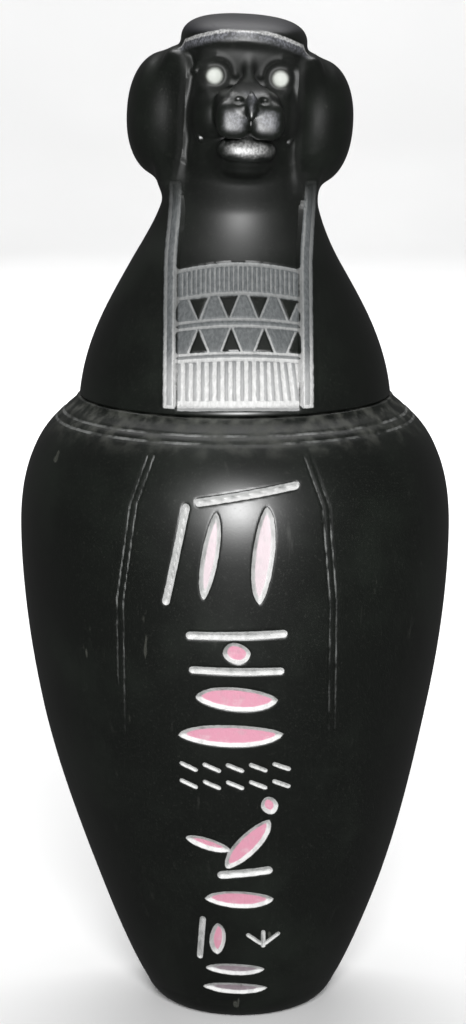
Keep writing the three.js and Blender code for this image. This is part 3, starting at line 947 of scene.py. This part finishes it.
def stone(shader):
    """Black stone: clouded colour, a fine grain, and a polish that is dulled in patches."""
    clouds = shader.noise(28, 4).between(0.42, 0.72)
    grain = shader.noise(1500, 2).between(0.55, 0.8)
    base = shader.mix(clouds * 0.55, BLACK_STONE, GREY_STONE)
    base = shader.mix(grain * 0.16, base, DUST)
    scuffs = shader.noise(260, 3, (1, 1, 0.12)).between(0.66, 0.82)
    base = shader.mix(scuffs * 0.12, base, DUST)
    rough = POLISH + clouds * 0.05 + grain * 0.05 + scuffs * 0.12
    return base, rough


def uneven_edge(shader):
    """Noise round 0 that makes the edge of a painted or cut place wander."""
    return shader.noise(420, 3) - 0.5


def thin_lines(shader, base, wobble):
    """The shoulder's rings and the frame lines, which fade away downwards."""
    thin = (shader.field("line") + wobble * 0.5).between(-0.05, 0.25)
    kept = shader.noise(90, 3).between(0.36, 0.6) * shader.axis(2).between(*FRAME_LINES_CLEAR)
    return shader.mix(thin * kept * 0.75, base, DULL_SILVER)


def stroke_paint(shader, base, cut):
    """Worn pink paint on the strokes' floors, paler in one row and greyed near the foot."""
    paint = shader.field("paint")
    floor = cut.between(MARK_BEVEL - 0.15, MARK_BEVEL + 0.3)
    pink = shader.mix((1 - paint).between(0.3, 0.65), PINK, PALE_PINK)
    pink = shader.mix((0 - paint).between(0.2, 0.8), pink, GREYED_PINK)
    has_paint = paint.math("ABSOLUTE").between(0.05, 0.3)
    left = shader.noise(300, 3).between(0.3, 0.5) * 0.22 + 0.78
    return shader.mix(floor * has_paint * left, base, pink)


def jar_material():
    shader = Shader("polished_black_stone_with_painted_strokes")
    base, rough = stone(shader)
    wobble = uneven_edge(shader)
    ledge = shader.axis(2).between(*LEDGE) * shader.noise(170, 4).between(0.4, 0.75)
    base = shader.mix(ledge * 0.6, base, DUST)
    base = thin_lines(shader, base, wobble)
    cut = shader.field("cut")
    bevel = (cut + wobble * 0.35).between(0.08, 0.4)
    scratch = shader.noise(380, 2, (1, 1, 0.5)).between(0.25, 0.6)
    # Walls that face up are painted brighter and walls that face down darker: painted highlight and
    # painted shade over the scratched stone's own pale colour.
    lit_and_shaded_silver = shader.mix(scratch * 0.35 + shader.field("lower_side") * 0.65, DULL_SILVER, SILVER)
    base = shader.mix(bevel, base, lit_and_shaded_silver)
    base = stroke_paint(shader, base, cut + wobble * 0.5)
    in_patches = shader.noise(14, 2).between(0.5, 0.62)
    nicks = shader.noise(240, 2, (1, 0.4, 0.25)).between(0.69, 0.74) * in_patches
    base = shader.mix(nicks * 0.5, base, DUST)
    grain = scratch * bevel + shader.noise(2200, 2) * 0.12
    shader.finish_stone(base, rough + bevel * 0.2 + ledge * 0.25, grain)
    return shader.material


def scratched_collar(shader, base, hatch, wobble):
    """The collar's and hems' scratched ground and brighter lines. Also gives where they are."""
    height = shader.axis(2)
    hem = (shader.field("hem") + wobble * 0.4).between(0, 0.3) * (1 - height.between(*HEM_SCRATCH_END))
    scratched = hem.larger((shader.field("ground") + wobble * 0.4).between(-0.1, 0.2))
    grey = shader.mix(hatch, FAINTLY_SCRATCHED, SCRATCHED)
    grey = shader.mix((1 - height.between(*FRINGE_END)) * 0.4, grey, SILVER)
    base = shader.mix(scratched, base, grey)
    lines = (shader.field("line") + wobble * 0.5).between(-0.08, 0.28)
    whiter = (1 - height.between(*WHITE_END)) * 0.75 + 0.25
    bright = shader.mix(whiter * (hatch * 0.35 + 0.65), DULL_SILVER, SILVER)
    drawn = lines * (whiter * 0.65 + 0.35) * (1 - height.between(*EDGE_LINE_END))
    return shader.mix(drawn, base, bright), scratched.larger(lines)


def headband_wear_and_highlights(shader, base, speckle, wobble):
    """The headband's speckled face, partly wear and partly a painted highlight, and a painted highlight
    along its upper edge. Also gives where the face is.
    """
    below_top = shader.field("below_top")
    on_band = shader.field("band_front").between(0, 2)
    face = on_band * below_top.between(0.2, 0.9) * (1 - below_top.between(1.6, 4.2))
    # The band's face made paler: partly wear, partly a painted highlight.
    base = shader.mix(face * (speckle * 0.36 + 0.1), base, WEAR_AND_HIGHLIGHT_STONE)
    # Along the band's upper edge, a painted highlight in bright colour.
    uneven = below_top + wobble * 0.8
    edge = on_band * uneven.between(-0.7, -0.2) * (1 - uneven.between(0.4, 1.0))
    return shader.mix(edge * (speckle * 0.5 + 0.35), base, SILVER), face


def muzzle_wear_and_highlights(shader, base, speckle, wobble):
    """The lobes, septum and lower lip made paler: partly wear, partly painted highlights. Also gives
    where the lobes are.
    """
    # Paler lobes and septum: partly wear, partly painted highlights.
    rubbed_and_highlit = (shader.field("wear_and_highlight") + wobble * 3).between(-0.4, 3.2)
    base = shader.mix(rubbed_and_highlit * (speckle * 0.34 + 0.12), base, WEAR_AND_HIGHLIGHT_STONE)
    # A painted highlight on the lower lip, partly wear.
    lip = (shader.field("lip") + wobble * 2.4).between(-0.4, 2.4)
    return shader.mix(lip * (speckle * 0.34 + 0.16), base, SILVER), rubbed_and_highlit


def pale_eyes(shader, base, eye, wobble):
    """A pale disc on each eye, with a faint paler ring round it."""
    base = shader.mix(eye.between(-1.6, 0) * 0.22, base, DUST)
    return shader.mix((eye + wobble * 0.3).between(-0.75, 0.8), base, EYE_WHITE)


def duller_places(shader, eye, cap, band_face):
    """Where the lid's polish is dull: by the wig's edge, round the eyes, on the brow, cap and throat."""
    height = shader.axis(2)
    by_edges = shader.field("matt").larger(shader.field("hem_end")).between(0, 2)
    throat = height.between(*THROAT_START) * (1 - height.between(*THROAT_END))
    brow = shader.field("brow").between(0, 3) * (1 - height.between(*BROW_END))
    dull = (by_edges * 0.8).larger(eye.between(-4.5, -2))
    return dull.larger(cap * 0.7).larger(band_face * 0.6).larger(throat * 0.55).larger(brow * 0.9)


def lid_material():
    shader = Shader("polished_black_stone_with_scratched_collar")
    base, rough = stone(shader)
    wobble = uneven_edge(shader)
    hatch = shader.noise(1100, 3, (1, 1, 0.3)).between(0.3, 0.72)
    speckle = shader.noise(1300, 3, (1, 1, 0.8)).between(0.36, 0.66)
    base, scratched = scratched_collar(shader, base, hatch, wobble)
    # The cap's top is tinted bluish: a painted reflection of the light overhead.
    cap = shader.axis(2).between(*CAP_START)
    base = shader.mix(cap * (shader.noise(700, 3) * 0.6 + 0.4), base, CAP_OVERHEAD_REFLECTION)
    base, band_face = headband_wear_and_highlights(shader, base, speckle, wobble)
    base, rubbed_and_highlit = muzzle_wear_and_highlights(shader, base, speckle, wobble)
    eye = shader.field("eye")
    base = pale_eyes(shader, base, eye, wobble)
    rough = rough + scratched * 0.22 + rubbed_and_highlit * 0.12
    rough = rough + duller_places(shader, eye, cap, band_face) * 0.28
    shader.finish_stone(base, rough, hatch * scratched + shader.noise(2200, 2) * 0.12)
    return shader.material


# ---- Setting ----

HEIGHT = cad_box[1][2]  # in metres, like all below
FLOOR_WIDTH = 14 * HEIGHT
SWEEP = ((0.3, 1.0), (0.8, 0.8), (1.4, 0.4), (10, 0))  # rise and run of each step up to the backdrop
ROOM_LIGHT = 0.07
CAMERA_PLACE = (-0.002 * HEIGHT, -2.905 * HEIGHT, 1.0867 * HEIGHT)
CAMERA_TILT = math.radians(11.3)  # down from level
LENS = 103.7
SMOOTH_ANGLE = math.radians(50)


def finish_piece(piece, material, node):
    piece.data.materials.clear()
    piece.data.materials.append(material)
    bpy.ops.object.select_all(action="DESELECT")
    piece.select_set(True)
    bpy.context.view_layer.objects.active = piece
    bpy.ops.object.shade_smooth_by_angle(angle=SMOOTH_ANGLE)
    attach(piece, "root")
    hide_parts(node)


def add_floor():
    """A pale sweep: a floor that curves up into a backdrop well behind the jar."""
    bpy.ops.mesh.primitive_plane_add(size=1, location=(0, 0, 0))
    floor = bpy.context.object
    floor.name = "pale_floor"
    floor.scale = (FLOOR_WIDTH, FLOOR_WIDTH, 1)
    bpy.ops.object.transform_apply(scale=True)
    bpy.ops.object.mode_set(mode="EDIT")
    bpy.ops.mesh.select_all(action="DESELECT")
    bpy.ops.object.mode_set(mode="OBJECT")
    for edge in floor.data.edges:
        edge.select = all(floor.data.vertices[i].co.y > 0.45 * FLOOR_WIDTH for i in edge.vertices)
    bpy.ops.object.mode_set(mode="EDIT")
    for rise, back in SWEEP:
        bpy.ops.mesh.extrude_region_move(
            TRANSFORM_OT_translate={"value": (0, back * HEIGHT, rise * HEIGHT)}
        )
    bpy.ops.object.mode_set(mode="OBJECT")
    bpy.ops.object.shade_smooth()
    shader = Shader("pale_paper")
    tint = shader.mix(shader.noise(3, 2).between(0.3, 0.7), PALE_PAPER, PALER_PAPER)
    shader.set(Base_Color=tint, Roughness=0.9)
    floor.data.materials.append(shader.material)
    floor.visible_glossy = False


def add_light(name, place, aim, size, power):
    """A soft round light. place, aim and size are in heights of the jar, and power is in watts."""
    lamp = bpy.data.lights.new(name, "AREA")
    lamp.shape = "ELLIPSE"
    lamp.size, lamp.size_y = size[0] * HEIGHT, size[1] * HEIGHT
    lamp.energy = power
    light = bpy.data.objects.new(name, lamp)
    bpy.context.scene.collection.objects.link(light)
    light.location = Vector(place) * HEIGHT
    toward = (Vector(aim) - Vector(place)) * HEIGHT
    light.rotation_euler = toward.to_track_quat("-Z", "Y").to_euler()


def add_lights():
    add_light("front_window", (0.1, -3.1, 1.45), (0, 0, 0.55), (1.05, 1.1), 17)
    add_light("overhead", (0, 0.3, 3.6), (0, 0, 0.3), (2.2, 1.6), 3.5)
    add_light("backdrop_light", (0, 2.2, 4.5), (0, 6, 1.0), (5, 1.5), 60)
    world = bpy.data.worlds.new("soft_room")
    bpy.context.scene.world = world
    world.use_nodes = True
    background = world.node_tree.nodes["Background"]
    background.inputs["Color"].default_value = colour(1, 1, 1)
    background.inputs["Strength"].default_value = ROOM_LIGHT


def add_camera():
    camera = bpy.data.objects.new("camera", bpy.data.cameras.new("camera"))
    bpy.context.scene.collection.objects.link(camera)
    camera.location = CAMERA_PLACE
    camera.rotation_euler = (math.pi / 2 - CAMERA_TILT, 0, 0)
    camera.data.sensor_fit = "VERTICAL"
    camera.data.sensor_height = 36
    camera.data.lens = LENS
    bpy.context.scene.camera = camera


add_camera()
add_floor()
add_lights()

lid = make_lid()
dress_lid(lid)
finish_piece(lid, lid_material(), "lid")

jar = spun_jar()
dress_jar(jar)
finish_piece(jar, jar_material(), "jar")

bpy.context.scene.view_settings.view_transform = "Standard"
